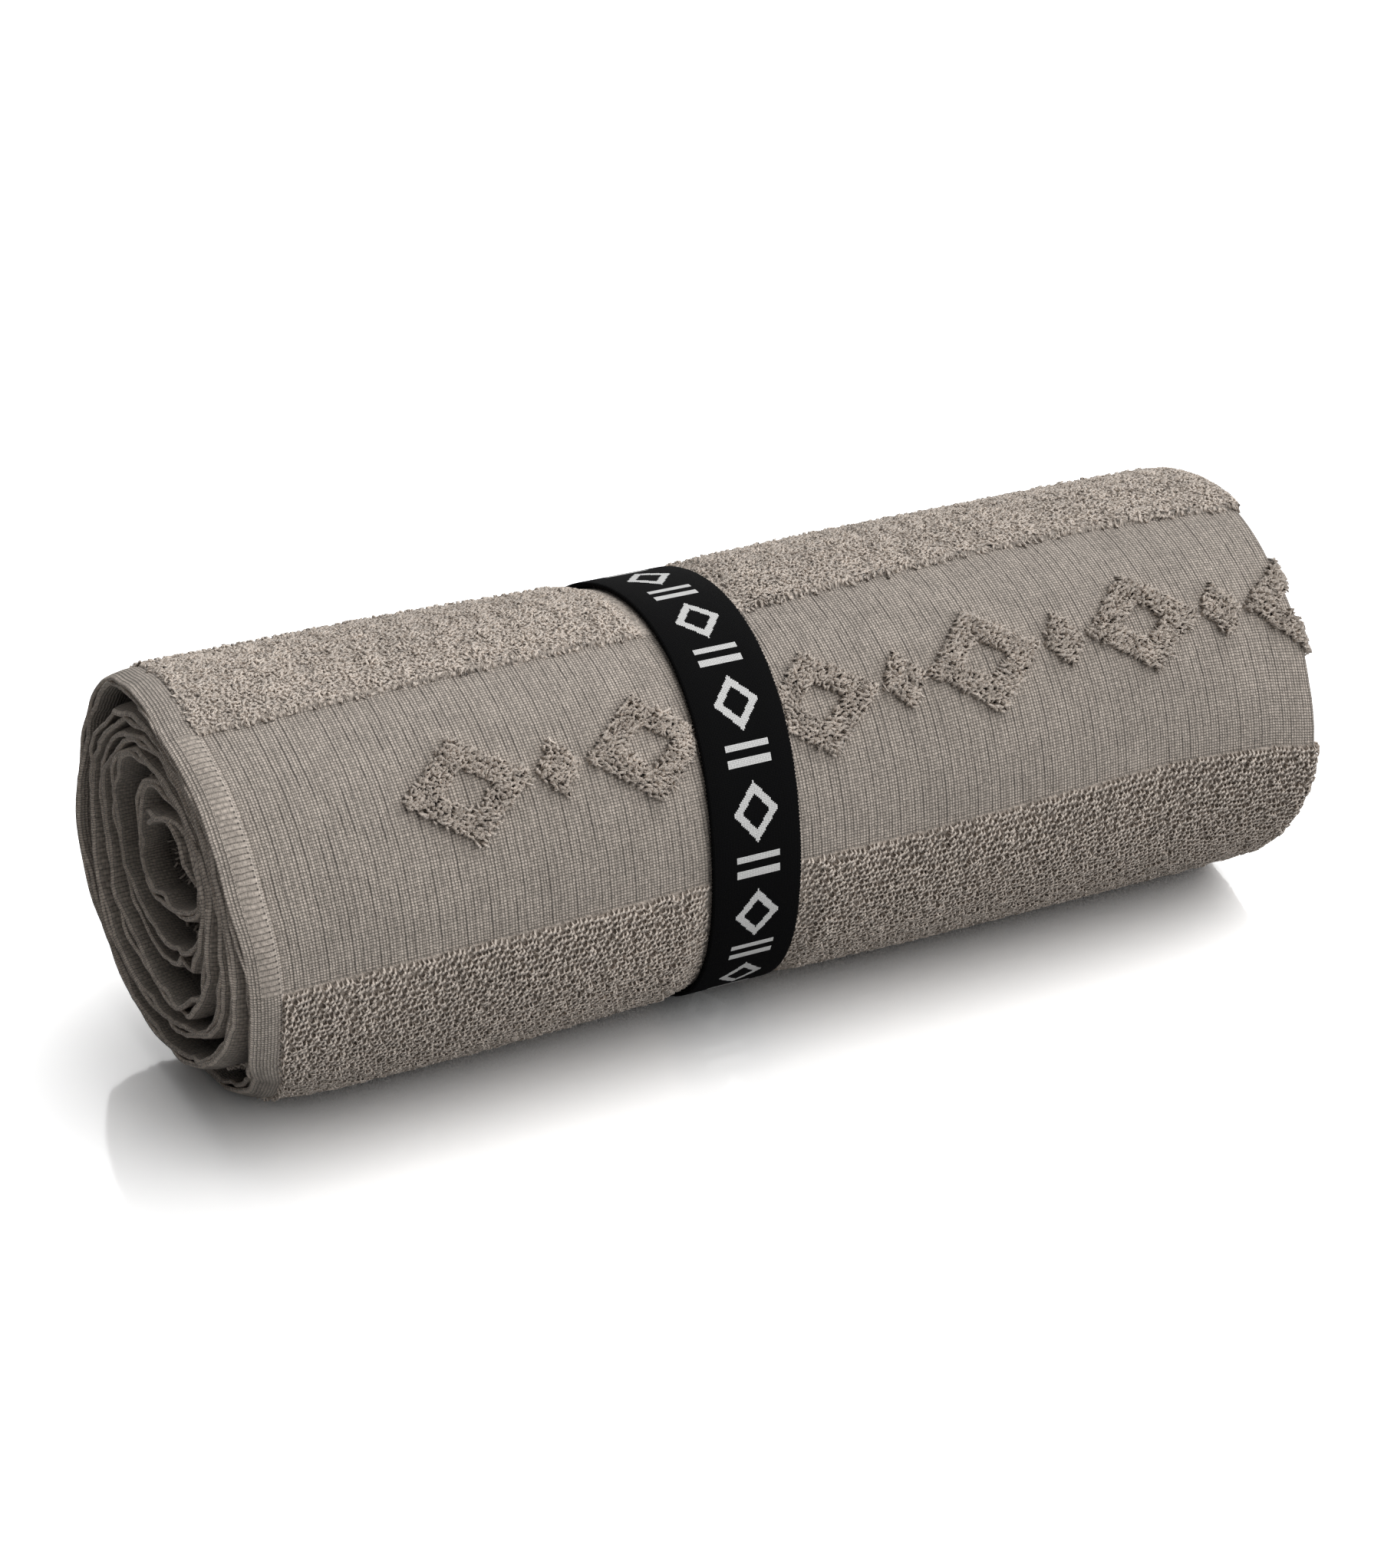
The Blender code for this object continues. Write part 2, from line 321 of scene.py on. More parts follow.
def wind_table():
    """The section as a table by arc length: turn, y, z and the outward direction."""
    turn = np.linspace(FIRST_TURN - 0.02, LAST_TURN + 0.05, 9000)
    y, z = section(turn)
    along_y, along_z = np.gradient(y), np.gradient(z)
    length = np.hypot(along_y, along_z)
    arc = np.concatenate(([0.0], np.cumsum(np.hypot(np.diff(y), np.diff(z)))))
    arc -= np.interp(0.0, turn, arc)
    return {"arc": arc, "turn": turn, "y": y, "z": z, "out_y": -along_z / length, "out_z": along_y / length}


WIND = wind_table()
FIRST_U = float(np.interp(FIRST_TURN, WIND["turn"], WIND["arc"]))
LAST_U = float(np.interp(LAST_TURN, WIND["turn"], WIND["arc"]))


def wound(arc, name):
    """One value of the section at an arc length."""
    return np.interp(arc, WIND["arc"], WIND[name])


def arc_of(u, x):
    """The arc length at which cloth coordinate u lies: the border's edges drift a little along x."""
    places, low, high = np.array(BORDER_EDGES).T
    low_shift = np.interp(x, places, low) - BORDER_LOW
    high_shift = np.interp(x, places, high) - BORDER_HIGH
    share = np.clip((u - BORDER_LOW) / (BORDER_HIGH - BORDER_LOW), 0, 1)
    fade = np.clip(1 - (u - BORDER_HIGH) / DRIFT_FADE, 0, 1) * np.clip(u / DRIFT_RISE, 0, 1)
    return u + (low_shift * (1 - share) + high_shift * share) * fade


def in_border(u):
    """1 inside the flat-woven border and 0 in the pile, with a short step at each edge."""
    past_low = soft_step(u, BORDER_LOW, BORDER_LOW + STEP_WIDTH)
    past_high = soft_step(u, BORDER_HIGH - STEP_WIDTH, BORDER_HIGH)
    return past_low * (1 - past_high)


def from_hem(v):
    """The distance from the nearer of the two side hems, whose edges are at 0 and CLOTH_WIDTH."""
    return np.minimum(v, CLOTH_WIDTH - v)


def in_hem(v):
    """1 in the two side hems and 0 between them, with a short step."""
    return 1 - soft_step(from_hem(v), HEM_WIDTH - STEP_WIDTH, HEM_WIDTH)


def near_share(x, length, power):
    """A power of the share that falls evenly from 1 at the roll's near end to 0 this length from it."""
    return np.clip((NEAR_END + length - x) / length, 0, 1) ** power


def from_band(x, arc):
    """The distance along the roll from the band's middle, which bows by the square of its outward z."""
    return x - BAND_CENTRE - BAND_BOW * wound(arc, "out_z") ** 2


def pressed(x, arc):
    """1 under the band and 0 beyond its ramps."""
    ramp_start = BAND_WIDTH / 2 + WAIST_MARGIN
    ramp_end = BAND_WIDTH / 2 + WAIST_RAMP
    return 1 - soft_step(np.abs(from_band(x, arc)), ramp_start, ramp_end)


def ground_depth(u, v, x, arc):
    """How far the woven ground lies below the roll's outline: in the pile, deeper towards the loose end
    than beyond the border, in the border, in the hem with the groove of its stitches, and by the band."""
    pile = PILE_GROUND[1] + (PILE_GROUND[0] - PILE_GROUND[1]) * soft_step(u, BORDER_LOW, BORDER_HIGH)
    depth = pile + (BORDER_GROUND - pile) * in_border(u)
    depth = depth + (HEM_GROUND - depth) * in_hem(v)
    groove = np.exp(-((from_hem(v) - HEM_STITCH) / GROOVE_WIDTH) ** 2)
    depth = depth + GROOVE_DEPTH * groove
    return depth + (PRESSED_GROUND - depth) * pressed(x, arc)


def skin_lifts(v):
    """The lifts of the face and the back, which round off towards each other at the hem's edge."""
    edge = np.clip(from_hem(v) / HEM_EDGE, 0, 1)
    rounded = np.sqrt(1 - (1 - edge) ** 2) * (1 - THINNEST_EDGE) + THINNEST_EDGE
    half = (GROUND_THICKNESS + (HEM_THICKNESS - GROUND_THICKNESS) * in_hem(v)) / 2
    return half * (rounded - 1), half * (-rounded - 1)


def place_cloth(u, v, lift):
    """The place of a point of the cloth, lift above its ground on its face side.

    Across the towel it follows two straight layers joined by a half circle at the far fold. That
    profile lies along the outward direction of the section at u's arc length. The band and the far
    shoulder move it in, and the outermost turn's far fold slides out. At the near end the lip follows
    its table, the outer layer's edge rolls in, the inner layer closes up to it, single layers splay by
    a bell curve of the turn, and seeded waves move the edge.
    """
    fold_start = CLOTH_WIDTH / 2 - math.pi * FOLD_RADIUS / 2
    fold_angle = np.clip((v - fold_start) / FOLD_RADIUS, 0, math.pi)
    inner = fold_angle / math.pi
    place = NEAR_END + np.minimum(np.minimum(v, CLOTH_WIDTH - v), fold_start)
    arc = arc_of(u, place)
    turn = wound(arc, "turn")
    radius = FOLD_DEPTH / 2 - ground_depth(u, v, place, arc) + lift
    lip = np.array(MOUTH).T / 1000
    lip_turn = MOUTH_START + np.arange(len(MOUTH)) * MOUTH_STEP
    waving = near_share(place, WAVE_REACH, 2)
    wave_place = u + WAVE_SHIFT * inner

    slide = near_share(place, SLIDE_REACH, SLIDE_POWER) * smooth(turn, lip_turn, lip[0])
    far_turn, far_slide = np.array(FAR_SLIDE).T
    far = np.clip((place - ROLL_LENGTH / 2) / FAR_SLIDE_REACH + 1, 0, FAR_SLIDE_MOST) ** FAR_SLIDE_POWER
    x = place + slide + far * np.interp(turn, far_turn, far_slide)
    x = x + waving * WAVE * ripple(wave_place, *WAVE_ALONG) + radius * np.sin(fold_angle)

    broad_waist = BROAD_WAIST * np.exp(-((place - BAND_CENTRE) / BROAD_WAIST_REACH) ** 2)
    waist = WAIST * pressed(place, arc) + broad_waist
    shoulder_x, shoulder = np.array(SHOULDER).T
    depth = FOLD_DEPTH / 2 - radius * np.cos(fold_angle) + waist + np.interp(place, shoulder_x, shoulder)
    closed = near_share(place, CLOSED_REACH, NEAR_POWER)
    depth = depth - closed * inner * CLOSED_UP + waving * WAVE * ripple(wave_place, *WAVE_INWARD)
    rolled = np.clip(1 - from_hem(v) / ROLL_WIDTH, 0, 1) ** 2
    outermost = 1 - soft_step(turn, 0.85, 1.05)
    splay = near_share(place, SPLAY_REACH, NEAR_POWER)
    depth = depth + rolled * ROLLED_IN * (1 - inner) - splay * (1 - inner) * outermost * ROLL_STANDS_OUT
    crimp = soft_step(turn + inner, 0.90, 1.10) * CRIMP * np.clip(1 - from_hem(v) / CRIMP_REACH, 0, 1)
    depth = depth + crimp * ripple(wave_place, *CRIMP_INWARD)
    x = x + crimp * ripple(wave_place, *CRIMP_ALONG)
    for splay_turn, width, layer, how_far in SPLAYS:
        share = inner if layer else 1 - inner
        depth = depth + splay * share * how_far * np.exp(-((turn - splay_turn) / width) ** 2)

    loose = 1 - soft_step(turn, *LOOSE_END)
    toward = near_share(place, MOUTH_REACH, MOUTH_POWER + LOOSE_POWER * loose)
    y = wound(arc, "y") - wound(arc, "out_y") * depth + toward * smooth(turn, lip_turn, lip[1])
    z = wound(arc, "z") - wound(arc, "out_z") * depth + toward * smooth(turn, lip_turn, lip[2])
    z = np.where(z < 0.001, 0.001 * np.exp(np.minimum(z / 0.001 - 1, 0)), z)
    return np.stack((x, y, z), axis=-1)


def graded(stops):
    """Places from stop to stop, each stretch cut evenly into steps of at most its own step."""
    places = []
    for (start, step), (end, _) in zip(stops[:-1], stops[1:]):
        count = max(1, math.ceil((end - start) / step - 1e-6))
        places.extend(np.linspace(start, end, count, endpoint=False))
    places.append(stops[-1][0])
    return np.array(places)


def new_object(name, points, faces, uv=None, values=None, corner_uv=None, smooth_faces=True):
    """A mesh object from whole arrays: points, faces of one size, UV by point or corner, and values."""
    mesh = bpy.data.meshes.new(name)
    corners = faces.shape[1]
    mesh.vertices.add(len(points))
    mesh.vertices.foreach_set("co", np.ascontiguousarray(points, dtype=np.float32).ravel())
    mesh.loops.add(faces.size)
    mesh.loops.foreach_set("vertex_index", np.ascontiguousarray(faces, dtype=np.int32).ravel())
    mesh.polygons.add(len(faces))
    mesh.polygons.foreach_set("loop_start", np.arange(0, faces.size, corners, dtype=np.int32))
    if uv is not None:
        corner_uv = uv[faces.ravel()]
    if corner_uv is not None:
        layer = mesh.uv_layers.new(name="cloth")
        layer.data.foreach_set("uv", np.ascontiguousarray(corner_uv, dtype=np.float32).ravel())
    for key, value in (values or {}).items():
        attribute = mesh.attributes.new(key, "FLOAT", "POINT")
        attribute.data.foreach_set("value", np.ascontiguousarray(value, dtype=np.float32))
    mesh.update(calc_edges=True)
    mesh.validate()
    if smooth_faces:
        mesh.shade_smooth()
    else:
        mesh.shade_flat()
    thing = bpy.data.objects.new(name, mesh)
    bpy.context.scene.collection.objects.link(thing)
    return thing


def grid_faces(rows, columns, wrap):
    """The quads of a grid of points; wrap joins its last column to its first."""
    index = np.arange(rows * columns).reshape(rows, columns)
    if wrap:
        index = np.concatenate((index, index[:, :1]), axis=1)
    return np.stack((index[:-1, :-1], index[:-1, 1:], index[1:, 1:], index[1:, :-1]), axis=-1).reshape(-1, 4)


def make_cloth():
    """The woven ground as one closed skin: its face side across v, then its back side the other way.

    Its points carry three masks from 0 to 1: in the border, in the hem, and deep between the turns. The
    last marks where painted shade darkens the ground inside the roll.
    """
    u = graded((
        (FIRST_U, 0.0004), (FIRST_U + 0.0012, 0.0024), (BORDER_LOW - 0.0006, 0.0003),
        (BORDER_LOW + 0.0008, 0.0026), (BORDER_HIGH - 0.0008, 0.0003), (BORDER_HIGH + 0.0006, 0.0030),
        (0.78, 0.0027), (0.86, 0.0018), (0.90, 0.0027), (LAST_U - 0.0012, 0.0004), (LAST_U, 0.0004),
    ))
    half = CLOTH_WIDTH / 2
    waist_start = BAND_CENTRE - BAND_WIDTH / 2 - WAIST_RAMP - NEAR_END
    waist_end = BAND_CENTRE + BAND_WIDTH / 2 + WAIST_RAMP - NEAR_END
    across = graded((
        (0.0, 0.00012), (0.00024, 0.0003), (0.0006, 0.0014), (0.0060, 0.0003), (0.0075, 0.0045),
        (0.0280, 0.0120), (waist_start, 0.0016), (waist_start + 0.0080, 0.0060),
        (waist_end - 0.0080, 0.0016), (waist_end, 0.0160), (0.2250, 0.0050), (half - 0.0040, 0.0008),
        (half, 0.0008),
    ))
    across = np.concatenate((across, CLOTH_WIDTH - across[-2::-1]))
    grid_u, grid_v = np.meshgrid(u, across, indexing="ij")
    back_v = grid_v[:, ::-1]
    end = np.minimum(grid_u - u[0], u[-1] - grid_u)
    rounded_end = 0.3 + 0.7 * np.sqrt(np.clip(end / 0.0010, 0, 1))
    face = place_cloth(grid_u, grid_v, skin_lifts(grid_v)[0])
    back = place_cloth(grid_u, back_v, skin_lifts(back_v)[1] * rounded_end)
    points = np.concatenate((face, back), axis=1)
    rows, columns = points.shape[:2]
    faces = grid_faces(rows, columns, True)
    index = np.arange(rows * columns).reshape(rows, columns)
    last = len(across)
    caps = []
    for row, flip in ((index[0], False), (index[-1], True)):
        face_row, back_row = row[:last], row[last:][::-1]
        quad = np.stack((face_row[:-1], back_row[:-1], back_row[1:], face_row[1:]), axis=-1)
        caps.append(quad[:, ::-1] if flip else quad)
    faces = np.concatenate((faces, *caps))[:, ::-1]
    uv_u = np.concatenate((grid_u, grid_u), axis=1).ravel() * 1000
    uv_v = np.concatenate((grid_v, back_v), axis=1).ravel() * 1000
    uv = np.stack((uv_v, uv_u), axis=-1)
    all_v = uv_v / 1000
    # The deep mask marks painted shade: on the back, in the turns from the loose end inwards and on the inner
    # layer, away from the hems' edges and the far fold.
    on_back = np.concatenate((np.zeros_like(grid_u), np.ones_like(grid_u)), axis=1).ravel()
    inside = np.maximum(on_back, np.maximum(uv_u > COVERED_FROM * 1000, all_v > half))
    past_edge = soft_step(from_hem(all_v), 0.0006, 0.0100)
    past_fold = soft_step(np.abs(all_v - half), 0.002, 0.014)
    masks = {"deep": inside * past_edge * past_fold, "border": in_border(uv_u / 1000), "hem": in_hem(all_v)}
    return new_object("terry_cloth", points.reshape(-1, 3), faces, uv, masks)


def stretched_outline(offset, count):
    """The taut loop round the drawn-in roll: its furthest point in each outward direction."""
    inside = WIND["turn"] <= 1.0
    y = WIND["y"][inside] - WIND["out_y"][inside] * (WAIST + BROAD_WAIST)
    z = WIND["z"][inside] - WIND["out_z"][inside] * (WAIST + BROAD_WAIST)
    angle = 2 * math.pi * (np.arange(count) + 0.5) / count
    out_y, out_z = np.sin(angle), -np.cos(angle)
    furthest = np.argmax(np.outer(out_y, y) + np.outer(out_z, z), axis=1)
    return y[furthest] + out_y * offset, np.maximum(z[furthest] + out_z * offset, 0.0)


def make_band():
    """The elastic loop: a flat section with rounded, saw-toothed edges carried round the taut outline."""
    count = 640
    flat_steps = 4
    tooth_height = 0.00012
    half_width, half_thick = BAND_WIDTH / 2, BAND_THICKNESS / 2
    saw = np.where(np.arange(count) % 2, tooth_height, -tooth_height)
    bow = BAND_BOW * np.cos(2 * math.pi * (np.arange(count) + 0.5) / count) ** 2
    corner = np.linspace(-math.pi / 2, math.pi / 2, 7)
    right_x = half_width - half_thick + half_thick * np.cos(corner)
    right_o = half_thick * np.sin(corner)
    flat_x = np.linspace(half_width - half_thick, -half_width + half_thick, flat_steps + 2)[1:-1]
    flat_o = np.full(flat_steps, half_thick)
    profile_x = np.concatenate((right_x, flat_x, -right_x[::-1], -flat_x))
    profile_o = np.concatenate((right_o, flat_o, right_o[::-1], -flat_o))
    rings = []
    for place, height in zip(profile_x, profile_o):
        y, z = stretched_outline(BAND_CLEARANCE + half_thick + height, count)
        tooth = saw * (abs(place) > half_width - half_thick) * np.sign(place)
        rings.append(np.stack((BAND_CENTRE + bow + place + tooth, y, z), axis=-1))
    points = np.stack(rings, axis=0)
    middle_y, middle_z = stretched_outline(BAND_CLEARANCE + half_thick, count)
    steps = np.hypot(np.diff(np.append(middle_y, middle_y[0])), np.diff(np.append(middle_z, middle_z[0])))
    around = np.concatenate(([0.0], np.cumsum(steps))) * 1000
    index = np.arange(points.shape[0] * count).reshape(points.shape[0], count)
    index = np.concatenate((index, index[:1]), axis=0)
    index = np.concatenate((index, index[:, :1]), axis=1)
    faces = np.stack((index[:-1, :-1], index[1:, :-1], index[1:, 1:], index[:-1, 1:]), axis=-1).reshape(-1, 4)
    across_of = np.broadcast_to(np.append(profile_x, profile_x[0])[:, None] * 1000, index.shape)
    around_of = np.broadcast_to(around[None], index.shape)
    corner_uv = np.stack((across_of, around_of), axis=-1)
    uv = np.stack((corner_uv[:-1, :-1], corner_uv[1:, :-1], corner_uv[1:, 1:], corner_uv[:-1, 1:]), axis=2)
    return new_object("woven_elastic_band", points.reshape(-1, 3), faces, corner_uv=uv.reshape(-1, 2))


def in_ornament(u, x):
    """True in the pile ornament: a lozenge is |dx|/length + |du|/height < 1, and a ring has a hole."""
    place = (x - ORNAMENT_START) / ORNAMENT_PITCH
    local = (place - np.floor(place)) * ORNAMENT_PITCH
    rise = np.abs(u - ORNAMENT_MIDDLE)
    ring = np.abs(local - RING_HALF_LENGTH) / RING_HALF_LENGTH + rise / RING_HALF_HEIGHT
    diamond_middle = (ORNAMENT_PITCH + 2 * RING_HALF_LENGTH) / 2
    diamond = np.abs(local - diamond_middle) / DIAMOND_HALF_LENGTH + rise / DIAMOND_HALF_HEIGHT
    within = (x > ORNAMENT_START) & (x < ORNAMENT_END)
    return within & (((ring < 1) & (ring > RING_HOLE)) | (diamond < 1))


def scatter(u_range, v_range, pitch_u, pitch_v, jitter, draw):
    """Loop places on staggered rows, every second row moved by half a pitch, and jittered."""
    rows = np.arange(u_range[0], u_range[1], pitch_u)
    places = np.arange(v_range[0], v_range[1] - pitch_v / 2, pitch_v)
    u, v = np.meshgrid(rows, places, indexing="ij")
    v = v + (np.arange(len(rows)) % 2)[:, None] * pitch_v / 2
    u = u + draw.uniform(-jitter, jitter, u.shape) * pitch_u
    v = v + draw.uniform(-jitter, jitter, v.shape) * pitch_v
    return u.ravel(), v.ravel()


def clumps(u, v, draw):
    """Uneven patches of pile, mostly from -1 to 1: six sine waves, 3 to 9 mm long, in seeded directions."""
    total = np.zeros_like(u)
    for _ in range(6):
        angle = draw.uniform(0, math.pi)
        length = draw.uniform(0.0032, 0.0088)
        phase = draw.uniform(0, 2 * math.pi)
        total += np.sin(2 * math.pi * (u * math.cos(angle) + v * math.sin(angle)) / length + phase)
    return total / 3


def make_loops(name, u, v, kind, draw):
    """Terry loops as three-sided tubes of yarn, all in one mesh.

    At share t of its length a loop's centre line lies -cos(pi t) half spans along its own
    direction and sin(pi t)^0.75 heights above the ground, and leans by sin(pi t)^1.6 of its lean.
    Each ring has three points, a radius away at right angles to the line. Patches of loops stand
    higher, lean together and are lighter than others, the last being painted light for their higher
    tops, and the band flattens the loops next to it.
    """
    count = len(u)
    patch = np.random.default_rng(kind["clump_seed"])
    high, aside, along_u = clumps(u, v, patch), clumps(u, v, patch), clumps(u, v, patch)
    rings = kind["rings"]
    share = np.linspace(0, 1, rings)
    arch = np.sin(math.pi * share)
    along = math.radians(kind["turned"]) + draw.normal(0, math.radians(kind["turned_spread"]), count)
    size = draw.uniform(0.82, 1.18, count)
    x = NEAR_END + np.minimum(v, CLOTH_WIDTH - v)
    flat = 1 - LOOP_FLATTENED * pressed(x, arc_of(u, x))
    span = kind["span"] * size
    height = (kind["height"] * draw.uniform(0.85, 1.15, count) + kind["clump"] * high) * flat
    together = CLUMP_LEAN * kind["clump"]
    lean_v = kind["lean"][0] + draw.normal(0, kind["lean_spread"], count) + together * aside
    lean_u = kind["lean"][1] + draw.normal(0, kind["lean_spread"], count) + together * along_u
    line = np.empty((count, rings, 3))
    step = -np.cos(math.pi * share)[None] * span[:, None] / 2
    leaning = (arch ** 1.6)[None]
    line[..., 0] = v[:, None] + np.cos(along)[:, None] * step + leaning * lean_v[:, None]
    line[..., 1] = u[:, None] + np.sin(along)[:, None] * step + leaning * lean_u[:, None]
    line[..., 2] = (arch ** 0.75)[None] * height[:, None] - LOOP_ROOT
    direction = np.gradient(line, axis=1)
    direction /= np.linalg.norm(direction, axis=-1, keepdims=True)
    plane = np.stack((-np.sin(along), np.cos(along), np.zeros(count)), axis=-1)[:, None]
    side = plane - np.sum(plane * direction, axis=-1, keepdims=True) * direction
    side /= np.linalg.norm(side, axis=-1, keepdims=True)
    up = np.cross(side, direction)
    radius = kind["radius"] * (0.78 + 0.22 * arch)[None, :, None] * draw.uniform(0.88, 1.12, (count, 1, 1))
    around = 2 * math.pi * np.arange(3) / 3
    points = (
        line[:, :, None]
        + np.sin(around)[None, None, :, None] * (side * radius)[:, :, None]
        + np.cos(around)[None, None, :, None] * (up * radius)[:, :, None]
    )
    placed = place_cloth(points[..., 1], points[..., 0], points[..., 2]).reshape(-1, 3)
    index = np.arange(rings * 3).reshape(rings, 3)
    after = np.roll(index, -1, axis=1)
    first = np.stack((index[:-1], after[:-1], after[1:]), axis=-1).reshape(-1, 3)
    second = np.stack((index[:-1], after[1:], index[1:]), axis=-1).reshape(-1, 3)
    caps = np.array((index[0][::-1], index[-1]))
    one = np.concatenate((first, second, caps))
    faces = (np.arange(count)[:, None, None] * rings * 3 + one[None]).reshape(-1, 3)
    first_loops = placed[faces[: len(one) * 40]]
    volume = np.sum(np.cross(first_loops[:, 0], first_loops[:, 1]) * first_loops[:, 2])
    if volume < 0:
        faces = faces[:, ::-1]
    length = np.linalg.norm(np.diff(line, axis=1), axis=-1).cumsum(axis=1)
    length = np.concatenate((np.zeros((count, 1)), length), axis=1) * 1000
    yarn = np.empty((count, rings, 3, 2))
    yarn[..., 0] = length[:, :, None] + u[:, None, None] * 1000
    yarn[..., 1] = np.arange(3)[None, None, :] / 3 + v[:, None, None] * 1000
    rise = np.broadcast_to(arch[None, :, None] ** 0.75, (count, rings, 3)).ravel()
    # Painted light: patches of loops that stand higher are given a lighter tone.
    tone = draw.uniform(0, 1, count) + kind["tone"] + kind["clump_painted_light"] * high
    tone = np.broadcast_to(tone[:, None, None], (count, rings, 3)).ravel()
    return new_object(name, placed, faces, yarn.reshape(-1, 2), {"rise": rise, "tone": tone})


# How much the band flattens a loop, how deep a loop's feet lie in the ground, how much patches of loops
# lean together for each height of theirs, and the most triangles that one piece of pile may have
LOOP_FLATTENED = 0.55
LOOP_ROOT = 0.0002
CLUMP_LEAN = 1.6
MOST_TRIANGLES = 195000

# The kinds of loop, in metres and degrees. turned is a loop's direction from the roll's length, lean how
# far its top leans along v and u, and clump how much higher a patch of loops stands. Its clump tone
# makes such a patch lighter as well: painted light for its higher tops.
# GRAIN's tone makes the lower front's loops lighter than the rest: painted light on the roll's lower side.
GRAIN = {
    "turned": 40, "turned_spread": 13, "span": 0.00150, "height": 0.00125, "lean": (0.0, -0.00015),
    "lean_spread": 0.00016, "radius": 0.00036, "rings": 4, "tone": 0.25,
    "clump": 0.00016, "clump_painted_light": 0.45, "clump_seed": 31,
}
UNEVEN = {"turned": 60, "turned_spread": 75, "rings": 3, "clump": 0.00013, "clump_painted_light": 0.7}
CURL = {
    **UNEVEN, "span": 0.00105, "height": 0.00048, "lean": (0.0001, -0.00040), "lean_spread": 0.00055,
    "radius": 0.00035, "tone": 0.0, "clump_seed": 32,
}
RAISED = {
    **UNEVEN, "span": 0.00120, "height": 0.00160, "lean": (0.0001, -0.00040), "lean_spread": 0.00050,
    "radius": 0.00037, "tone": -0.05, "clump_seed": 33,
}
BROAD = {
    **UNEVEN, "span": 0.00180, "height": 0.00085, "lean": (0.0, -0.00030), "lean_spread": 0.00055,
    "radius": 0.00046, "tone": 0.0, "clump_seed": 34,
}


def make_pile():
    """All the terry loops, zone by zone."""
    half = CLOTH_WIDTH / 2
    first_v = HEM_WIDTH - 0.0001
    round_fold = half + 0.0034
    across = (first_v, round_fold)
    at_fold = (half - 0.0034, round_fold)
    in_core = (CLOTH_WIDTH - 0.046, CLOTH_WIDTH - first_v)
    at_lip = (first_v, LOOSE_END_SHOWS)
    zones = (
        # name, kind, u range, v range, pitches, jitter, seed
        ("loops_lower_front", GRAIN, (0.0080, BORDER_LOW - 0.0002), across, (0.00141, 0.00116), 0.24, 21),
        ("loops_upper_front", CURL, (BORDER_HIGH + 0.0002, 0.1720), across, (0.00068, 0.00067), 0.42, 22),
        ("loops_ornament", RAISED, (0.0945, 0.1180), (0.0300, round_fold), (0.00058, 0.00057), 0.40, 23),
        ("loops_back", BROAD, (0.1723, 0.3080), across, (0.00176, 0.00166), 0.40, 24),
        ("loops_underside", BROAD, (FIRST_U + 0.002, 0.0075), across, (0.0024, 0.0022), 0.38, 25),
        ("loops_far_folds", BROAD, (0.3090, 1.0), at_fold, (0.0023, 0.0021), 0.38, 26),
        ("loops_in_core", BROAD, (0.8900, LAST_U - 0.002), in_core, (0.0020, 0.0019), 0.38, 27),
        ("loops_under_loose_end", BROAD, (COVERED_FROM, 0.3300), at_lip, (0.0017, 0.0016), 0.38, 28),
    )
    pieces = []
    for name, kind, u_range, v_range, pitches, jitter, seed in zones:
        draw = np.random.default_rng(seed)
        u, v = scatter(u_range, v_range, pitches[0], pitches[1], jitter, draw)
        x = NEAR_END + np.minimum(v, CLOTH_WIDTH - v)
        keep = np.abs(from_band(x, arc_of(u, x))) > BAND_WIDTH / 2 + 0.0003
        if kind is RAISED:
            keep &= in_ornament(u, x)
        if name == "loops_back":
            keep &= (u < COVERED_FROM) | (v > LOOSE_END_SHOWS)
        u, v = u[keep], v[keep]
        triangles_each = (kind["rings"] - 1) * 6 + 2
        parts = math.ceil(len(u) * triangles_each / MOST_TRIANGLES)
        for part, chosen in enumerate(np.array_split(np.arange(len(u)), parts)):
            pieces.append(make_loops(f"{name}_{part + 1}", u[chosen], v[chosen], kind, draw))
    return pieces


def node(tree, kind, inputs=None, **settings):
    """A node with its settings, and its inputs set to numbers or linked to sockets."""
    made = tree.nodes.new(kind)
    for key, value in settings.items():
        setattr(made, key, value)
    for key, value in (inputs or {}).items():
        if isinstance(value, bpy.types.NodeSocket):
            tree.links.new(value, made.inputs[key])
        else:
            made.inputs[key].default_value = value
    return made


def calc(tree, operation, first, second=None, third=None, clamp=False):
    """The output of a Math node."""
    values = {0: first, 1: second, 2: third}
    inputs = {key: value for key, value in values.items() if value is not None}
    return node(tree, "ShaderNodeMath", inputs, operation=operation, use_clamp=clamp).outputs[0]


def times(tree, first, second):
    """The product of two values."""
    return calc(tree, "MULTIPLY", first, second)


def ramp(tree, value, slope, start, clamp=False):
    """start + slope * value."""
    return calc(tree, "MULTIPLY_ADD", value, slope, start, clamp)


def blend(tree, share, first, second):
    """first where the share is 0 and second where it is 1, for numbers."""
    inputs = {"Factor": share, "A": first, "B": second}
    return node(tree, "ShaderNodeMix", inputs, data_type="FLOAT").outputs["Result"]


def noise(tree, place, scale, detail):
    """The value of a Noise texture."""
    inputs = {"Vector": place, "Scale": scale, "Detail": detail}
    return node(tree, "ShaderNodeTexNoise", inputs).outputs["Fac"]


def from_middle_of(tree, place):
    """How far a place lies from the middle of its cell: 0 there, and 1 at the whole numbers."""
    return calc(tree, "ABSOLUTE", ramp(tree, calc(tree, "FRACT", place), 2.0, -1.0))


def mask(tree, name):
    """One value of the mesh's points."""
    return node(tree, "ShaderNodeAttribute", attribute_name=name).outputs["Fac"]


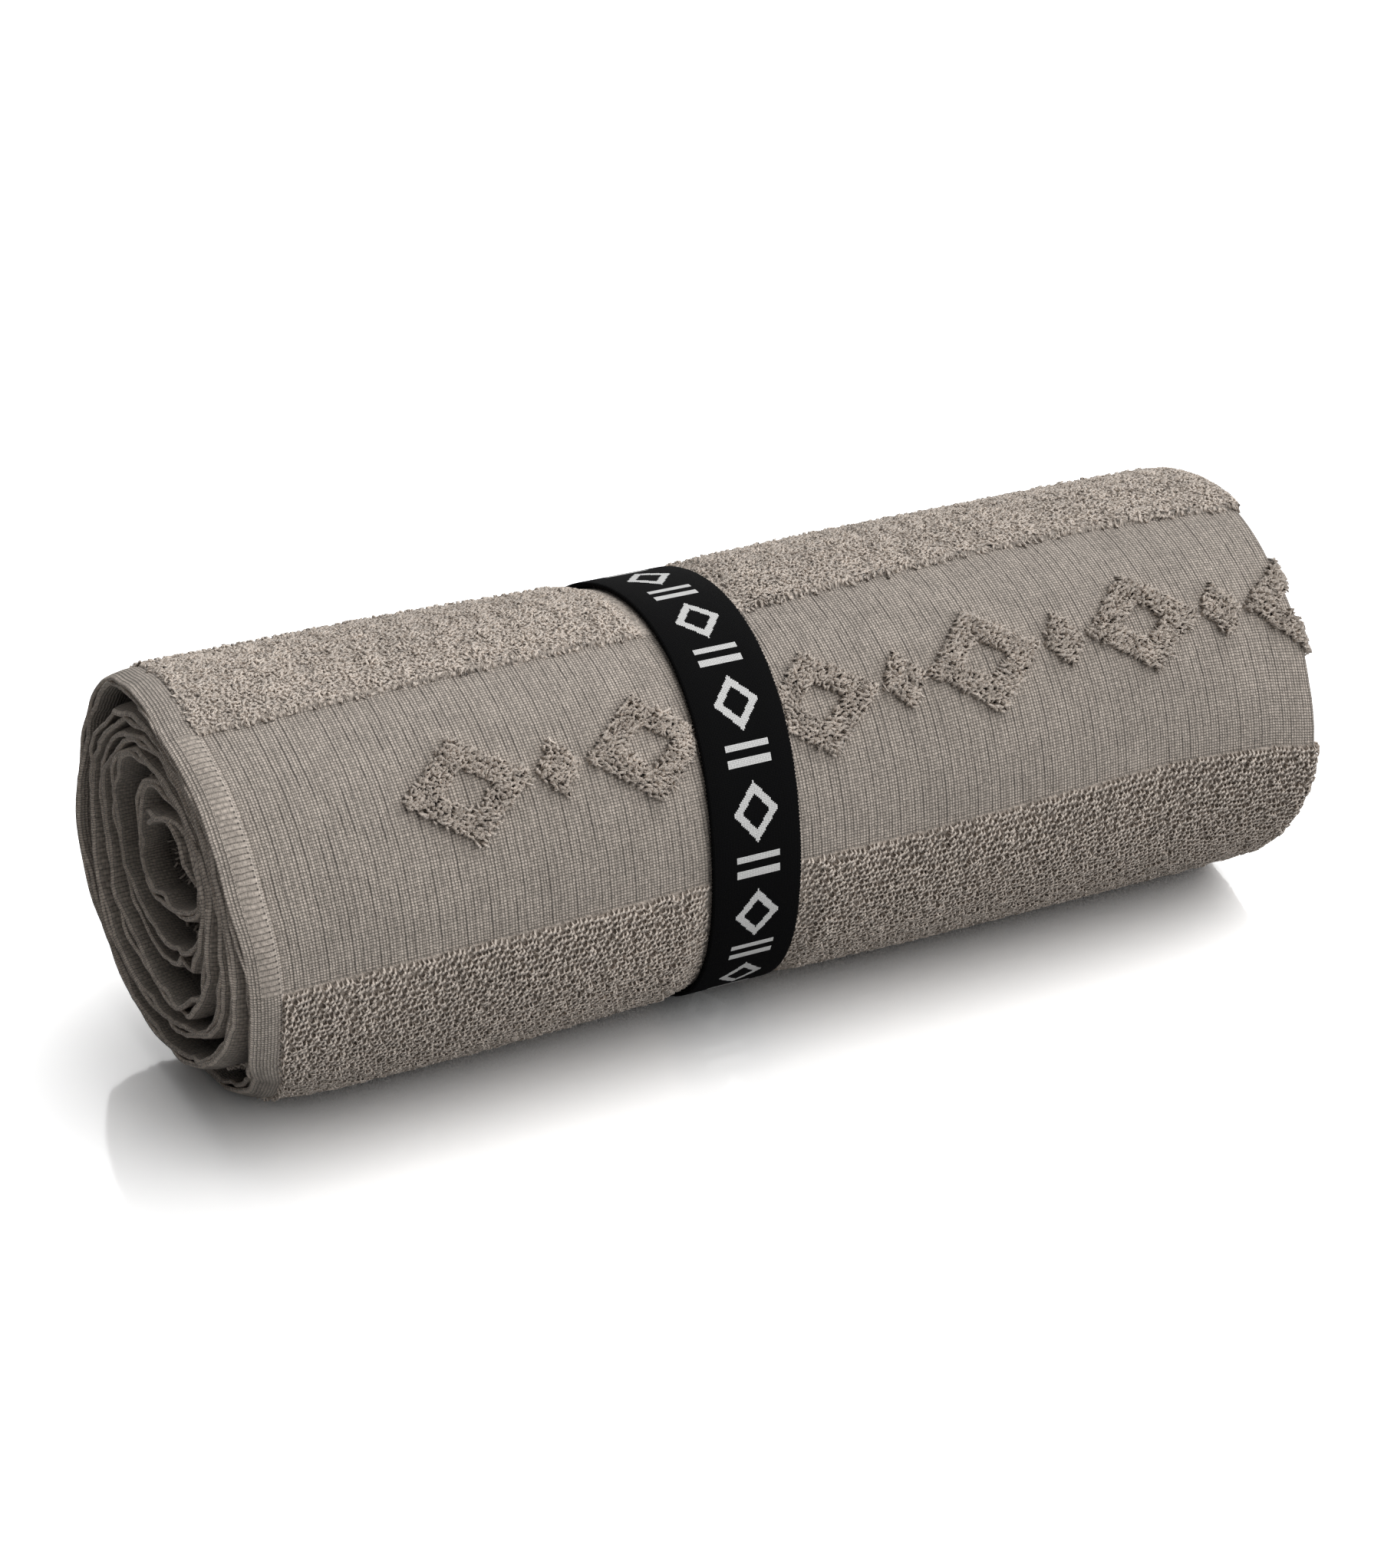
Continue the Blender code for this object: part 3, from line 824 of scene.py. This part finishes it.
def scaled(tree, factor, by, amount, base):
    """A factor times base + amount * by."""
    return times(tree, factor, ramp(tree, by, amount, base))


def tint(tree, colour, amount):
    """A colour times a number."""
    return node(tree, "ShaderNodeVectorMath", {0: colour, "Scale": amount}, operation="SCALE").outputs[0]


def new_group(name, inputs, outputs):
    """A node group with its sockets, and its input and output nodes."""
    group = bpy.data.node_groups.new(name, "ShaderNodeTree")
    for key, kind, value in inputs:
        socket = group.interface.new_socket(key, in_out="INPUT", socket_type=kind)
        if value is not None:
            socket.default_value = value
    for key, kind in outputs:
        group.interface.new_socket(key, in_out="OUTPUT", socket_type=kind)
    return group, group.nodes.new("NodeGroupInput"), group.nodes.new("NodeGroupOutput")


def woven_threads_group():
    """Plain weave: threads cross over and under like a chequerboard, each a rounded grain of its own tone."""
    group, given, result = new_group(
        "woven threads",
        (
            ("Place", "NodeSocketVector", None),
            ("Across Pitch", "NodeSocketFloat", 0.6),
            ("Along Pitch", "NodeSocketFloat", 0.6),
        ),
        (("Height", "NodeSocketFloat"), ("Gap", "NodeSocketFloat"), ("Tone", "NodeSocketFloat")),
    )
    wobble = ramp(group, noise(group, given.outputs["Place"], 0.9, 1.0), 0.5, -0.25)
    place = node(group, "ShaderNodeSeparateXYZ", {0: given.outputs["Place"]})
    across, along = (
        calc(group, "ADD", calc(group, "DIVIDE", place.outputs[axis], given.outputs[pitch]), wobble)
        for axis, pitch in ((0, "Across Pitch"), (1, "Along Pitch"))
    )
    bump_across = calc(group, "SINE", times(group, calc(group, "FRACT", across), math.pi))
    bump_along = calc(group, "SINE", times(group, calc(group, "FRACT", along), math.pi))
    cell_across, cell_along = calc(group, "FLOOR", across), calc(group, "FLOOR", along)
    over = calc(group, "FLOORED_MODULO", calc(group, "ADD", cell_across, cell_along), 2.0)
    threads = []
    for broad, narrow in ((bump_across, bump_along), (bump_along, bump_across)):
        rounded = calc(group, "POWER", broad, 0.6)
        threads.append(times(group, rounded, ramp(group, narrow, 0.7, 0.3)))
    height = blend(group, over, threads[0], threads[1])
    group.links.new(height, result.inputs["Height"])
    gap = calc(group, "SUBTRACT", 1.0, times(group, height, 1.7), clamp=True)
    group.links.new(gap, result.inputs["Gap"])
    cell = node(group, "ShaderNodeCombineXYZ", {0: cell_across, 1: cell_along})
    tone = node(group, "ShaderNodeTexWhiteNoise", {"Vector": cell.outputs[0]}, noise_dimensions="2D")
    group.links.new(tone.outputs["Value"], result.inputs["Tone"])
    return group


def cotton_shade_group():
    """Uneven dyeing and wear: broad, middling and fine noise as one factor round 1."""
    group, given, result = new_group(
        "cotton shade",
        (("Place", "NodeSocketVector", None), ("Amount", "NodeSocketFloat", 1.0)),
        (("Shade", "NodeSocketFloat"),),
    )
    total = 1.0
    for scale, weight in ((0.035, 0.16), (0.16, 0.19), (1.3, 0.20)):
        patches = noise(group, given.outputs["Place"], scale, 2.0)
        centred = times(group, calc(group, "SUBTRACT", patches, 0.5), weight * 2)
        total = ramp(group, centred, given.outputs["Amount"], total)
    group.links.new(total, result.inputs["Shade"])
    return group


def new_material(name, roughness, sheen=0.0):
    """A material with an emptied node tree but for its Principled BSDF."""
    material = bpy.data.materials.new(name)
    material.use_nodes = True
    tree = material.node_tree
    shader = tree.nodes["Principled BSDF"]
    shader.inputs["Roughness"].default_value = roughness
    shader.inputs["Specular IOR Level"].default_value = 0.2
    shader.inputs["Sheen Weight"].default_value = sheen
    shader.inputs["Sheen Roughness"].default_value = 0.5
    return material, tree, shader


def coat(tree, shader, colour, height, strength, distance):
    """Link the shader's colour, and a bump of this height."""
    tree.links.new(colour, shader.inputs["Base Color"])
    bump = node(tree, "ShaderNodeBump", {"Height": height, "Strength": strength, "Distance": distance})
    tree.links.new(bump.outputs["Normal"], shader.inputs["Normal"])


def use_group(tree, group, inputs):
    """The outputs of a node group with its inputs set."""
    return node(tree, "ShaderNodeGroup", inputs, node_tree=group).outputs


def border_weave(tree, place, across, fine):
    """The border's height and gaps: fine weave with ribs, which are dark lines of uneven depth. They
    are darkest at the near end."""
    wave = noise(tree, place, 0.12, 1.0)
    rib_place = ramp(tree, wave, 0.5, calc(tree, "DIVIDE", across, RIB_PITCH))
    from_line = calc(tree, "ABSOLUTE", calc(tree, "SUBTRACT", calc(tree, "FRACT", rib_place), 0.5))
    rib = calc(tree, "SUBTRACT", 1.0, times(tree, from_line, 4.5), clamp=True)
    rib = calc(tree, "POWER", rib, 1.5)
    rib_depth = times(tree, rib, ramp(tree, wave, 1.4, 0.05, clamp=True))
    toward_near_end = ramp(tree, across, -0.016, 1.2, clamp=True)
    rib_tone = ramp(tree, toward_near_end, 0.16, 0.30)
    height = ramp(tree, rib_depth, -0.8, fine["Height"])
    return height, ramp(tree, rib_depth, rib_tone, fine["Gap"], clamp=True)


def hem_weave(tree, place, along, edge_place, border, fine):
    """The hem's height and gaps: cells in rows, moved by half a cell in every second row. They start
    inside a strip of plain weave along the edge, in the border and where the cloth is wound in, and a
    row of stitches closes them off."""
    uneven = noise(tree, place, 0.45, 1.0)
    row_place = ramp(tree, uneven, 0.35, calc(tree, "DIVIDE", along, HEM_ROW))
    row_line = from_middle_of(tree, row_place)
    second_row = calc(tree, "FLOORED_MODULO", calc(tree, "FLOOR", row_place), 2.0)
    shifted = ramp(tree, second_row, 0.5, calc(tree, "DIVIDE", edge_place, HEM_CELL))
    column_line = from_middle_of(tree, ramp(tree, uneven, 0.6, shifted))
    row_dark = calc(tree, "POWER", row_line, 3.5)
    column_dark = times(tree, calc(tree, "POWER", column_line, 4.5), 0.50)
    cell_dark = calc(tree, "MAXIMUM", row_dark, column_dark)
    outermost = times(tree, border, calc(tree, "GREATER_THAN", edge_place, PLAIN_EDGE_OUTSIDE))
    wound_in = calc(tree, "GREATER_THAN", along, WOUND_IN_FROM * 1000)
    wound_in = times(tree, wound_in, calc(tree, "GREATER_THAN", edge_place, PLAIN_EDGE_INSIDE))
    inside = calc(tree, "MAXIMUM", outermost, wound_in)
    height = blend(tree, inside, fine["Height"], ramp(tree, cell_dark, -0.7, 0.9))
    half_dark = times(tree, cell_dark, 0.50)
    cell_gap = ramp(tree, fine["Gap"], 0.50, half_dark, clamp=True)
    from_stitches = calc(tree, "ABSOLUTE", calc(tree, "SUBTRACT", edge_place, HEM_STITCH * 1000))
    near_stitch = calc(tree, "LESS_THAN", from_stitches, STITCH_HALF_WIDTH)
    stitch = times(tree, near_stitch, calc(tree, "GREATER_THAN", row_line, 0.70))
    return height, calc(tree, "MAXIMUM", blend(tree, inside, fine["Gap"], cell_gap), stitch)


def cloth_material(weave, shade):
    """The woven ground: ribbed fine weave in the border, cells in its hem, fluff between the loops.

    Gaps are darker: in the weaves they are its dark joints, and between the loops painted shade. The ground
    deep between the turns is darker too, painted shade inside the roll, and so are the border's two edges,
    a painted shadow of the pile's step. The cloth's edge is lighter, a painted highlight.
    """
    material, tree, shader = new_material("cotton ground", 0.95, 0.15)
    place = node(tree, "ShaderNodeUVMap", uv_map="cloth").outputs["UV"]
    split = node(tree, "ShaderNodeSeparateXYZ", {0: place})
    across, along = split.outputs[0], split.outputs[1]
    edge_place = calc(tree, "MINIMUM", across, calc(tree, "SUBTRACT", CLOTH_WIDTH * 1000, across))
    border, hem = mask(tree, "border"), mask(tree, "hem")
    fine = use_group(tree, weave, {"Place": place, **GROUND_PITCHES})
    border_height, border_gap = border_weave(tree, place, across, fine)
    hem_height, hem_gap = hem_weave(tree, place, along, edge_place, border, fine)
    fluff = noise(tree, place, 1.1, 2.0)
    pile_height = times(tree, fluff, 2.4)
    # Painted shade: where this noise is low the pile's ground is darkened, standing in for the loops' shadow.
    painted_pile_shade = ramp(tree, fluff, -2.2, 1.35, clamp=True)
    height = blend(tree, hem, blend(tree, border, pile_height, border_height), hem_height)
    gap = blend(tree, hem, blend(tree, border, painted_pile_shade, border_gap), hem_gap)

    shading = use_group(tree, shade, {"Place": place, "Amount": 0.8})["Shade"]
    # Gaps darken the colour: the weaves' dark joints, and painted shade between the loops.
    factor = scaled(tree, shading, gap, -0.80, 1.035)
    tone = ramp(tree, fine["Tone"], 0.32, 0.85)
    factor = times(tree, factor, scaled(tree, tone, hem, -0.07, 1.0))
    # Painted shade: the ground deep between the turns is up to 84 per cent darker.
    factor = scaled(tree, factor, mask(tree, "deep"), -0.84, 1.0)
    # Painted shadow: the border's two edges, where the pile steps down to it, are up to 22 per cent darker.
    pile_edge_shadow = times(tree, border, calc(tree, "SUBTRACT", 1.0, border))
    factor = scaled(tree, factor, pile_edge_shadow, -0.9, 1.0)
    # Painted highlight: the cloth's edge is up to 85 per cent lighter, fading out 1.2 mm from it.
    edge_highlight = ramp(tree, edge_place, -0.85, 1.0, clamp=True)
    factor = scaled(tree, factor, edge_highlight, 0.85, 1.0)
    coat(tree, shader, tint(tree, COTTON, factor), height, 1.0, 0.00030)
    return material


def loop_material(shade):
    """The pile's yarn: each loop has its own tone, partly painted light, is darker towards its root as
    painted shade, and shows its twist.
    """
    material, tree, shader = new_material("cotton loops", 0.9, 0.25)
    yarn = node(tree, "ShaderNodeUVMap", uv_map="cloth").outputs["UV"]
    split = node(tree, "ShaderNodeSeparateXYZ", {0: yarn})
    rise, tone = mask(tree, "rise"), mask(tree, "tone")
    turns = calc(tree, "ADD", calc(tree, "DIVIDE", split.outputs[0], 0.55), split.outputs[1])
    twist = calc(tree, "SINE", times(tree, turns, 2 * math.pi))
    where = node(tree, "ShaderNodeTexCoord").outputs["Object"]
    where = node(tree, "ShaderNodeVectorMath", {0: where, "Scale": 1000.0}, operation="SCALE").outputs[0]
    shading = use_group(tree, shade, {"Place": where, "Amount": 0.8})["Shade"]
    # Painted shade: a loop's colour darkens towards the ground, by its rise.
    foot_shade = ramp(tree, rise, 0.10, 1.18)
    own = ramp(tree, tone, 0.14, 0.96)
    strand = ramp(tree, twist, 0.09, 1.0)
    loop_tone_and_painted_light = times(tree, foot_shade, own)
    factor = times(tree, loop_tone_and_painted_light, times(tree, strand, shading))
    coat(tree, shader, tint(tree, COTTON, factor), twist, 0.7, 0.00006)
    return material


def elastic_material(weave):
    """Black plain weave with a woven white motif of lozenges and bars, stepped by its threads."""
    material, tree, shader = new_material("black elastic", 0.85)
    shader.inputs["Specular IOR Level"].default_value = 0.08
    place = node(tree, "ShaderNodeUVMap", uv_map="cloth").outputs["UV"]
    thread = (ELASTIC_PITCH, ELASTIC_PITCH, 1.0)
    stepped = node(tree, "ShaderNodeVectorMath", {0: place, 1: thread}, operation="SNAP").outputs[0]
    split = node(tree, "ShaderNodeSeparateXYZ", {0: stepped})
    across = calc(tree, "ABSOLUTE", split.outputs[0])
    local = calc(tree, "FLOORED_MODULO", split.outputs[1], MOTIF_PITCH)
    from_middle = calc(tree, "ABSOLUTE", calc(tree, "SUBTRACT", local, LOZENGE_MIDDLE))
    share_across = calc(tree, "DIVIDE", across, MOTIF_HALF_WIDTH)
    share_along = calc(tree, "DIVIDE", from_middle, LOZENGE_HALF_LENGTH)
    from_ring = calc(tree, "SUBTRACT", calc(tree, "ADD", share_across, share_along), 0.80)
    ring = calc(tree, "LESS_THAN", calc(tree, "ABSOLUTE", from_ring), 0.20)
    within = calc(tree, "LESS_THAN", across, MOTIF_HALF_WIDTH)
    bars = 0.0
    for middle in BAR_MIDDLES:
        from_bar = calc(tree, "ABSOLUTE", calc(tree, "SUBTRACT", local, middle))
        bar = calc(tree, "LESS_THAN", from_bar, BAR_HALF_LENGTH)
        bars = calc(tree, "ADD", times(tree, bar, within), bars)
    white = calc(tree, "MAXIMUM", ring, bars, clamp=True)
    pitches = {"Across Pitch": ELASTIC_PITCH, "Along Pitch": ELASTIC_PITCH}
    threads = use_group(tree, weave, {"Place": place, **pitches})
    grain = ramp(tree, threads["Height"], 0.5, 0.6)
    colour = node(tree, "ShaderNodeMix", data_type="RGBA")
    tree.links.new(white, colour.inputs["Factor"])
    colour.inputs["A"].default_value = ELASTIC_BLACK
    colour.inputs["B"].default_value = ELASTIC_WHITE
    height = calc(tree, "ADD", threads["Height"], times(tree, white, 0.6))
    coat(tree, shader, tint(tree, colour.outputs[2], grain), height, 0.8, 0.00010)
    return material


def floor_material():
    """White paper with a faint gloss, burnt out as in the photograph, that lights the cloth but little.

    Beside the roll, where less of it is open to the light, it shows darker.
    """
    material, tree, shader = new_material("studio paper", 0.6)
    tree.nodes.remove(shader)
    seen = node(tree, "ShaderNodeLightPath").outputs["Is Camera Ray"]
    open_to = node(tree, "ShaderNodeAmbientOcclusion", {"Distance": CONTACT_REACH}, samples=8).outputs["AO"]
    paper = tint(tree, (FLOOR_SEEN, FLOOR_SEEN, FLOOR_SEEN), calc(tree, "POWER", open_to, CONTACT_POWER))
    bright = node(tree, "ShaderNodeBsdfDiffuse", {"Color": paper})
    gloss = node(tree, "ShaderNodeBsdfGlossy", {"Color": FLOOR_GLOSS, "Roughness": 0.08})
    shown = node(tree, "ShaderNodeAddShader", {0: bright.outputs[0], 1: gloss.outputs[0]})
    dim = node(tree, "ShaderNodeBsdfDiffuse", {"Color": FLOOR_UNSEEN})
    both = node(tree, "ShaderNodeMixShader", {0: seen, 1: dim.outputs[0], 2: shown.outputs[0]})
    tree.links.new(both.outputs[0], tree.nodes["Material Output"].inputs["Surface"])
    return material


def make_camera():
    """A camera at the photograph's place, turned about Z and then tipped down."""
    data = bpy.data.cameras.new("camera")
    data.lens = CAMERA_LENS
    data.sensor_width = 36.0
    camera = bpy.data.objects.new("camera", data)
    camera.location = CAMERA_PLACE
    camera.rotation_euler = (math.pi / 2 - CAMERA_PITCH, 0.0, -CAMERA_YAW)
    bpy.context.scene.collection.objects.link(camera)
    bpy.context.scene.camera = camera


def light_studio():
    """A soft dome, brightest above, in front and towards +X, and dim towards -X. For the direction
    (dx, dy, dz) in which it is seen, its strength is level + rise dz + side dx - front dy, times
    near + fall dx between its least and 1."""
    world = bpy.context.scene.world or bpy.data.worlds.new("studio")
    bpy.context.scene.world = world
    world.use_nodes = True
    tree = world.node_tree
    toward = node(tree, "ShaderNodeTexCoord").outputs["Generated"]
    toward = node(tree, "ShaderNodeSeparateXYZ", {0: toward})
    strength = ramp(tree, toward.outputs[2], DOME["rise"], DOME["level"])
    strength = ramp(tree, toward.outputs[0], DOME["side"], strength)
    strength = ramp(tree, toward.outputs[1], -DOME["front"], strength)
    fading = ramp(tree, toward.outputs[0], DOME["fall"], DOME["near"])
    fading = calc(tree, "MINIMUM", calc(tree, "MAXIMUM", fading, DOME["least"]), 1.0)
    strength = times(tree, calc(tree, "MAXIMUM", strength, DOME_DIMMEST), fading)
    tree.nodes["Background"].inputs["Color"].default_value = (1, 1, 1, 1)
    tree.links.new(strength, tree.nodes["Background"].inputs["Strength"])
    bpy.context.scene.view_settings.view_transform = "Standard"


make_camera()
weave = woven_threads_group()
shade = cotton_shade_group()
cloth = make_cloth()
cloth.data.materials.append(cloth_material(weave, shade))
pile = make_pile()
pile_material = loop_material(shade)
for piece in pile:
    piece.data.materials.append(pile_material)
band = make_band()
band.data.materials.append(elastic_material(weave))

floor_corners = np.array(((-1, -1, 0), (1, -1, 0), (1, 1, 0), (-1, 1, 0))) * FLOOR_HALF_SIZE
floor = new_object("studio_floor", floor_corners, np.array(((0, 1, 2, 3),)), smooth_faces=False)
floor.data.materials.append(floor_material())
light_studio()

for piece in (cloth, *pile):
    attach(piece, "root")
    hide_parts("towel_roll")
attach(band, "root")
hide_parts("elastic_band")
